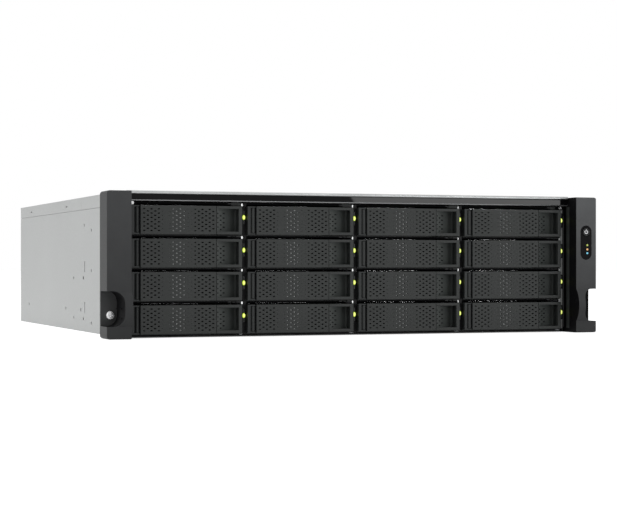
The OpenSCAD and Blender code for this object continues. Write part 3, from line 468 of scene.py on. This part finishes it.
class Shape:
    """A mesh built from small solids, given in millimetres from the front of the ears."""

    def __init__(self):
        self.bm = bmesh.new()

    def tag(self, verts, mat):
        for vert in verts:
            for face in vert.link_faces:
                face.material_index = mat

    def box(self, x0, y0, z0, x1, y1, z1, mat=0, edge=0.0):
        a = at(min(x0, x1), min(y0, y1), min(z0, z1))
        b = at(max(x0, x1), max(y0, y1), max(z0, z1))
        size = b - a
        place = Matrix.Translation((a + b) / 2) @ Matrix.Diagonal((*size, 1))
        verts = bmesh.ops.create_cube(self.bm, size=1, matrix=place)["verts"]
        self.tag(verts, mat)
        if edge:
            edges = {e for v in verts for e in v.link_edges}
            bmesh.ops.bevel(self.bm, geom=list(edges), offset=edge * MM, segments=2, affect="EDGES")

    def lathe(self, x, y, z, axis, profile, mat=0, steps=24):
        """Turns (distance along the axis, radius) pairs about an axis through a point."""
        along, side, other = directions(axis)
        start = at(x, y, z)
        rings = []
        for length, radius in profile:
            middle = start + along * length * MM
            if radius < 1e-6:
                rings.append([self.bm.verts.new(middle)])
                continue
            ring = []
            for i in range(steps):
                angle = 2 * math.pi * i / steps
                out = side * math.cos(angle) + other * math.sin(angle)
                ring.append(self.bm.verts.new(middle + out * radius * MM))
            rings.append(ring)
        faces = []
        for first, second in zip(rings, rings[1:]):
            for i in range(steps):
                j = (i + 1) % steps
                corners = []
                for vert in (first[i % len(first)], first[j % len(first)],
                             second[j % len(second)], second[i % len(second)]):
                    if vert not in corners:
                        corners.append(vert)
                if len(corners) > 2:
                    faces.append(self.bm.faces.new(corners))
        for ring in (rings[0], rings[-1]):
            if len(ring) > 2:
                faces.append(self.bm.faces.new(ring))
        for face in faces:
            face.material_index = mat

    def dome(self, x, y, z, wide, tall, depth, mat=0, core=1, steps=20):
        """An oval lens that bulges to the front, its middle in a second material."""
        core_level = 2
        rings = []
        for f in (1.0, 0.93, 0.78, 0.6, 0.42, 0.2):
            front = y - depth * math.sqrt(1 - f * f)
            ring = []
            for i in range(steps):
                angle = 2 * math.pi * i / steps
                point = at(x + wide * f * math.cos(angle), front, z + tall * f * math.sin(angle))
                ring.append(self.bm.verts.new(point))
            rings.append(ring)
        for k, (first, second) in enumerate(zip(rings, rings[1:])):
            for i in range(steps):
                j = (i + 1) % steps
                face = self.bm.faces.new((first[i], first[j], second[j], second[i]))
                face.material_index = core if k >= core_level else mat
        self.bm.faces.new(rings[-1]).material_index = core
        self.bm.faces.new(rings[0]).material_index = mat

    def ring(self, x, y, z, axis, radius, wire, mat=0, steps=40):
        """A wire ring round an axis."""
        profile = []
        for i in range(8):
            angle = 2 * math.pi * i / 8
            profile.append((math.sin(angle) * wire, radius + math.cos(angle) * wire))
        along, side, other = directions(axis)
        start = at(x, y, z)
        loops = []
        for i in range(steps):
            angle = 2 * math.pi * i / steps
            out = side * math.cos(angle) + other * math.sin(angle)
            loops.append([self.bm.verts.new(start + (along * a + out * b) * MM)
                          for a, b in profile])
        for i in range(steps):
            self.bridge(loops[i], loops[(i + 1) % steps], mat)

    def bridge(self, first, second, mat=0):
        """Faces between two closed loops of as many points."""
        count = len(first)
        for k in range(count):
            m = (k + 1) % count
            face = self.bm.faces.new((first[k], first[m], second[m], second[k]))
            face.material_index = mat

    def screw(self, x, y, z, axis, sign, radius, height, mat=0, slot_mat=1):
        """A rounded screw head with a cross recess, standing from its seat along the axis."""
        h = height * sign
        self.lathe(x, y, z, axis, [(0, radius), (h * 0.55, radius), (h * 0.85, radius * 0.85),
                                   (h, radius * 0.55), (h, 0)], mat, 20)
        arm, half = radius * 0.5, radius * 0.11
        top, low = h + 0.02 * sign, h * 0.8
        for u, v in ((arm, half), (half, arm)):
            if axis == "y":
                self.box(x - u, y + low, z - v, x + u, y + top, z + v, slot_mat)
            elif axis == "x":
                self.box(x + low, y - u, z - v, x + top, y + u, z + v, slot_mat)
            else:
                self.box(x - u, y - v, z + low, x + u, y + v, z + top, slot_mat)

    def make(self, name, body, materials, slot=None, angle=35):
        mesh = bpy.data.meshes.new(name)
        bmesh.ops.recalc_face_normals(self.bm, faces=self.bm.faces)
        self.bm.to_mesh(mesh)
        self.bm.free()
        for material in materials:
            mesh.materials.append(M[material])
        mesh.shade_smooth()
        mesh.set_sharp_from_angle(angle=math.radians(angle))
        thing = bpy.data.objects.new(name, mesh)
        SCENE.collection.objects.link(thing)
        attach(thing, body)
        return thing


# ------------------------------------------------------------------ pieces on the front

COLUMNS = 4
# how far left of its bay's right wall each column's lens stands, and how high in the bay
LENS_INSET = (1.3, 1.6, 2.0, 1.7)
LENS_Z = 15.7
WINDOW_HALF = 6.7


def make_light_windows():
    """A domed lens in a black window at each bay, and steel between the last column's windows."""
    lenses, windows, steel = Shape(), Shape(), Shape()
    for bay in BAYS:
        x, z = bay_place(bay)
        x, z = x + BAY_W - LENS_INSET[(bay - 1) % COLUMNS], z + LENS_Z
        lenses.dome(x, 22.0, z, 1.45, 2.3, 1.2)
        windows.box(x - 1.6, 21.9, z - WINDOW_HALF, x + 2.1, 23.22, z + WINDOW_HALF, 0, 0.2)
        for side in (-1, 1):
            windows.dome(x + 0.2, 21.95, z + side * 4.3, 0.4, 1.8, 0.3, 1, 1)
        if bay % COLUMNS == 0:
            low = 3.6 if bay == BAYS[-1] else z - 22.9
            steel.box(x - 0.7, 22.8, low, x + 1.9, 23.2, z - 6.9, 0, 0.06)
        elif bay < COLUMNS:
            windows.box(x - 0.7, 22.9, 2.0, x + 2.8, 23.25, 121, 0, 0.1)
    steel.box(213.7, 22.8, 115.2, 216.3, 23.2, 121.0, 0, 0.06)
    windows.make("light_windows", "chassis", ["window_black", "dull_steel"], "gloss_black")
    steel.make("cage_edge_steel", "chassis", ["edge_steel"], "zinc_steel")
    lens = lenses.make("light_lenses", "chassis", ["lime", "lime_core"], "light_lens")
    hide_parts("drive_lights")


def make_lever_details():
    """Black dots on the scoop's floor, painted shade standing for its holes, and the mesh behind
    the middle slots.
    """
    for bay in BAYS:
        x, z = bay_place(bay)
        name = f"lever_{bay:02d}"
        dots = Shape()
        for column in range(3):
            for row in range(4):
                cx = x + 80.6 + column * 3.4
                cz = z + 12.8 + (row - 1.5) * 4.1 + (-2.05 if column == 1 else 0)
                cy = 17.6 + (cx - x - 80) * 0.475
                dots.box(cx - 0.85, cy - 0.04, cz - 0.45, cx + 0.85, cy + 0.6, cz + 0.45, 0)
        # the dots are black boxes in place of holes: painted shade
        dots.make(f"scoop_dots_{bay:02d}", name, ["groove_black"], "charcoal_plastic")
        backing = Shape()
        backing.box(x + 34.5, 18.25, z + 2, x + 55.5, 18.6, z + 23.6, 0, 0.1)
        backing.make(f"lever_mesh_{bay:02d}", name, ["mesh_steel"], "zinc_steel")


def make_row_clips():
    """The cage's black bar over each bay with its clips, and a cover over the top row."""
    clips = Shape()
    for bay in BAYS:
        x, z = bay_place(bay)
        clips.box(x + 1.2, 24.1, z + 27.2, x + BAY_W - 1.2, 24.9, z + 29.4, 0, 0.1)
        x += BAY_W
        clips.box(x - 8.2, 23.85, z + 27.2, x - 2.2, 24.2, z + 28.8, 1, 0.1)
        clips.box(x - 16, 23.8, z + 27.3, x - 12.9, 24.2, z + 28.6, 2, 0.1)
        clips.box(x - 11.5, 23.85, z + 27.3, x - 9, 24.2, z + 28.5, 1, 0.1)
        if bay <= COLUMNS:
            clips.box(x - 13, 23.7, z + 26.2, x - 1.6, 24.2, z + 29.4, 3, 0.2)
    clips.make("row_clips", "chassis",
               ["groove_black", "frame_plastic", "dark_steel", "tray_plastic"], "zinc_steel")


def make_ear_liners():
    """A sheet lining along the middle of each ear's inner side."""
    liners = Shape()
    for side in (-1, 1):
        liners.box(side * 218.84, 13.5, 4, side * 218.99, 19.5, 121, 0, 0.04)
    liners.make("ear_liners", "chassis", ["tray_plastic"], "charcoal_plastic")


def make_standby_sign():
    """The generic sign on the button: an arc open at the top, a stroke in the gap, a ring."""
    sign = Shape()
    x, z = STANDBY_X, STANDBY_Z
    arc_start, arc_turn, steps = 125, 290, 20
    for i in range(steps):
        a0 = math.radians(arc_start + arc_turn * i / steps)
        a1 = math.radians(arc_start + arc_turn * (i + 1) / steps)
        corners = []
        for angle, radius in ((a0, 1.1), (a1, 1.1), (a1, 2.0), (a0, 2.0)):
            corners.append((x + math.cos(angle) * radius, z + math.sin(angle) * radius))
        front = [sign.bm.verts.new(at(u, -0.46, w)) for u, w in corners]
        back = [sign.bm.verts.new(at(u, -0.38, w)) for u, w in corners]
        sign.bm.faces.new(front)
        sign.bridge(front, back)
    sign.box(x - 0.4, -0.46, z + 0.5, x + 0.4, -0.38, z + 2.5, 0)
    sign.ring(x, -0.36, z, "y", 3.35, 0.14, 1)
    sign.make("standby_sign", "power_button", ["mark_white", "dull_steel"], "gloss_black")


# ------------------------------------------------------------------ pieces in and behind the case

def make_rivets():
    rivets = Shape()
    for side in (-1, 1):
        for z in (12.5, 52.3):
            rivets.lathe(side * SIDE_FACE, 189, z, "x", [(0, 1.7), (side * 0.1, 1.6)], 0, 16)
    rivets.make("side_rivets", "chassis", ["screw"], "zinc_steel")


def make_drive_details():
    """Screws, spindle cap and blank label on each drive, and the dark plates and black strips at
    the front of its top that stand behind the gap between two rows: painted shade for that gap."""
    for bay in BAYS:
        x, z = bay_place(bay)
        left, right = x + DRIVE_LEFT, x + DRIVE_RIGHT
        top = z + DRIVE_TOP
        d = Shape()
        for sx, sy in ((14, 52), (88, 52), (14, 181), (88, 181), (6, 116), (96, 116)):
            d.screw(left + sx, sy, top - 0.05, "z", 1, 2.1, 0.4, 4, 1)
        d.lathe(left + 50.8, 105, top + 0.35, "z",
                [(0, 9), (0.25, 8.6), (0.25, 5), (0.1, 4.4), (0.1, 0)], 0, 32)
        d.lathe(left + 76, 160, top - 0.05, "z", [(0, 7.5), (0.3, 7), (0.3, 0)], 0, 28)
        d.box(left + 12, 60, top - 0.1, left + 30, 100, top + 0.06, 2, 0.05)
        d.box(x + 17, 43.4, top - 0.1, x + 69, 48.4, top + 0.9, 3, 0.2)
        # black strips beside the plate: painted shade in the gap between rows
        for strip_low, strip_high in ((4.2, 17), (69, 103.4)):
            d.box(x + strip_low, 43.6, top - 0.1, x + strip_high, 45.4, top + 0.85, 5, 0.1)
        for sx in (left - 1.15, right + 1.15):
            sign = -1 if sx < x + 50 else 1
            for sy in (62, 164):
                d.screw(sx, sy, z + 6.1, "x", sign, 2.2, 0.35, 0, 1)
        d.make(f"drive_details_{bay:02d}", f"carrier_{bay:02d}",
               ["screw", "black_plastic", "label_grey", "drive_front_shade", "dull_steel",
                "groove_black"], "drive_casing")


def make_board_parts():
    top = BOARD_TOP
    b = Shape()
    # processor socket frame under the cooler, chipset heatsink, management chip, battery
    b.box(-152, 325, top, -60, 418, top + 1.2, 0, 0.3)
    b.box(20, 468, top, 56, 500, top + 3, 1, 0.4)
    for i in range(9):
        b.box(20.6 + i * 4.2, 468, top + 3, 22 + i * 4.2, 500, top + 12, 1)
    b.box(-30, 300, top, -10, 320, top + 1.8, 2, 0.2)
    b.box(70, 470, top, 84, 484, top + 1.4, 2, 0.2)
    b.lathe(92, 500, top, "z", [(0, 10.5), (3, 10.5), (3.4, 10), (3.4, 0)], 1, 32)
    # power connectors and cable sockets along the front edge
    for i in range(6):
        b.box(66 + i * 6, 284, top, 70.6 + i * 6, 292, top + 11, 3, 0.3)
    for i in range(8):
        b.box(-20 + i * 9, 285, top, -13 + i * 9, 297, top + 7, 0, 0.3)
    # rows of chokes and small capacitors by the processor
    for i in range(8):
        b.box(-160 + i * 13, 434, top, -150 + i * 13, 444, top + 7, 2, 0.6)
        b.lathe(-155 + i * 13, 451, top, "z", [(0, 3), (6.5, 3), (7, 2.6), (7, 0)], 1, 18)
    # small parts, scattered by fixed steps
    for i in range(60):
        u, v = (i * 37) % 101 / 101, (i * 61) % 97 / 97
        cx, cy = -4 + u * 60 - 48, 332 + v * 130
        b.box(cx, cy, top, cx + 1.8, cy + 0.9, top + 0.7, 4)
    for i in range(40):
        u, v = (i * 29) % 83 / 83, (i * 47) % 89 / 89
        cx, cy = 60 + u * 44, 300 + v * 160
        b.box(cx, cy, top, cx + 1.0, cy + 1.9, top + 0.7, 4)
    b.make("board_parts", "chassis",
           ["black_plastic", "aluminium", "chip", "mark_white", "gold"], "circuit_board")


def make_port_details():
    """Contacts and two link lights in each network port."""
    top = BOARD_TOP
    p = Shape()
    for x in (-194, -176, -158, -140, -98):
        for i in range(8):
            p.box(x + 4.2 + i * 1.02, 509.2, top + 7.6, x + 4.6 + i * 1.02, 518, top + 9.6, 0)
        for side, mat in ((2.4, 1), (11.2, 2)):
            p.box(x + side, 520.2, top + 10.7, x + side + 2.4, 521.75, top + 12.6, mat, 0.1)
    p.make("port_details", "chassis", ["gold", "lamp_green", "lamp_orange"], "zinc_steel")


def make_psu_details():
    """A wire guard over each power supply's fan, and its light."""
    for floor, name in enumerate(("lower", "upper")):
        x, z = 139.0, 4.4 + 43.2 * floor
        s = Shape()
        for radius in (5, 9.2, 13.4, 17.4):
            s.ring(x + 52.5, 520.3, z + 20, "y", radius, 0.55, 0)
        for turn in (45, 135):
            c, d = math.cos(math.radians(turn)) * 17.8, math.sin(math.radians(turn)) * 17.8
            wire = [at(x + 52.5 - c, 519.6, z + 20 - d), at(x + 52.5 + c, 519.6, z + 20 + d)]
            along = (wire[1] - wire[0]).normalized()
            side = along.cross(AXES["y"])
            offsets = []
            for k in range(8):
                a = k * math.pi / 4
                offsets.append((AXES["y"] * math.cos(a) + side * math.sin(a)) * 0.5 * MM)
            s.bridge(*([s.bm.verts.new(end + offset) for offset in offsets] for end in wire))
        s.lathe(x + 31.5, 520.9, z + 34.5, "y", [(0, 1.6), (0.6, 1.5), (0.9, 0.9), (1.0, 0)], 1, 20)
        s.make(f"psu_{name}_guard", f"psu_{name}", ["screw", "lamp_green"], "zinc_steel")


def make_rear_screws():
    r = Shape()
    for x in (-206, 206):
        for z in (12, 60, 108):
            r.screw(x, REAR_FACE, z, "y", 1, 3.0, 1.2, 0, 1)
    for x in (-66, 134, 0):
        r.screw(x, REAR_FACE, 8, "y", 1, 2.6, 1.1, 0, 1)
    r.make("rear_screws", "chassis", ["screw", "black_plastic"], "zinc_steel")
    knurls = Shape()
    count, radius, half = 30, 3.62, 0.16
    for side in (-1, 1):
        for i in range(count):
            a = 2 * math.pi * i / count
            x, z = side * 205.4 + math.cos(a) * radius, 125 + math.sin(a) * radius
            knurls.box(x - half, 523.6, z - half, x + half, 528.6, z + half, 0)
    knurls.make("thumb_knurls", "rear_lid", ["screw"], "zinc_steel")


# ------------------------------------------------------------------ stage and light

def stage_plane(name, size, place, turn, material):
    bpy.ops.mesh.primitive_plane_add(size=1, location=place, rotation=turn)
    plane = bpy.context.object
    plane.name = name
    plane.scale = (size[0], size[1], 1)
    plane.data.materials.append(material)


def make_floor():
    """A pale floor that the camera and mirrors see almost white, with its shadow kept."""
    n = Nodes("floor_white")
    tree = n.tree
    path = n.add("ShaderNodeLightPath")
    glow = n.add("ShaderNodeEmission", Color=(1, 1, 1, 1), Strength=0.66)
    both = n.add("ShaderNodeAddShader")
    pick = n.add("ShaderNodeMixShader")
    tree.links.new(n.shader.outputs[0], both.inputs[0])
    tree.links.new(glow.outputs[0], both.inputs[1])
    seen = n.math("MAXIMUM", path.outputs["Is Camera Ray"], path.outputs["Is Glossy Ray"])
    tree.links.new(seen, pick.inputs[0])
    tree.links.new(n.shader.outputs[0], pick.inputs[1])
    tree.links.new(both.outputs[0], pick.inputs[2])
    tree.links.new(pick.outputs[0], n.output.inputs["Surface"])
    n.shader.inputs["Base Color"].default_value = (0.9, 0.9, 0.9, 1)
    n.set(Roughness=0.9, Specular_IOR_Level=0.0)
    stage_plane("floor", (30, 30), (0, 0, -0.1 * MM), (0, 0, 0), n.material)


def maximum(tree, first, second):
    node = tree.nodes.new("ShaderNodeMath")
    node.operation = "MAXIMUM"
    tree.links.new(first, node.inputs[0])
    tree.links.new(second, node.inputs[1])
    return node.outputs[0]


def make_world():
    """White where the camera, a mirror or glass sees it, and a plain fill light elsewhere."""
    world = bpy.data.worlds.new("studio")
    SCENE.world = world
    world.use_nodes = True
    tree = world.node_tree
    back = tree.nodes["Background"]
    back.inputs["Color"].default_value = (1, 1, 1, 1)
    path = tree.nodes.new("ShaderNodeLightPath")
    seen = maximum(tree, path.outputs["Is Camera Ray"], path.outputs["Is Glossy Ray"])
    seen = maximum(tree, seen, path.outputs["Is Transmission Ray"])
    level = tree.nodes.new("ShaderNodeMapRange")
    level.inputs["To Min"].default_value = 0.45
    level.inputs["To Max"].default_value = 1.0
    tree.links.new(seen, level.inputs["Value"])
    tree.links.new(level.outputs["Result"], back.inputs["Strength"])


def area_light(name, place, aim, size, power, roll=0.0):
    data = bpy.data.lights.new(name, "AREA")
    data.shape = "RECTANGLE"
    data.size, data.size_y = size
    data.energy = power
    lamp = bpy.data.objects.new(name, data)
    lamp.location = place
    turn = (Vector(aim) - Vector(place)).to_track_quat("-Z", "Y") @ Quaternion((0, 0, 1), roll)
    lamp.rotation_euler = turn.to_euler()
    lamp.visible_camera = False
    SCENE.collection.objects.link(lamp)


def make_lights():
    # the key light's left edge shows as the step of grey in the gloss bar
    area_light("key_light", (1.24, -2.516, 0.26), (0.1, -0.25, 0.07), (0.6, 0.4), 6.4, 0.55)
    area_light("side_light", (-2.2, -0.4, 1.0), (0, 0, 0.06), (2.0, 1.6), 12)
    area_light("front_light", (-0.5, -2.6, 1.6), (0, 0, 0.06), (2.4, 1.2), 6)
    area_light("top_light", (0, 0.3, 2.4), (0, 0, 0), (2.5, 2.5), 22)


make_materials()
paint_case()
paint_ears()
paint_inside()
for number in BAYS:
    paint_bay(number)
paint_lights()
make_light_windows()
make_lever_details()
make_row_clips()
make_ear_liners()
make_standby_sign()
make_rivets()
make_drive_details()
make_board_parts()
make_port_details()
make_psu_details()
make_rear_screws()
make_floor()
make_world()
make_lights()
make_camera()
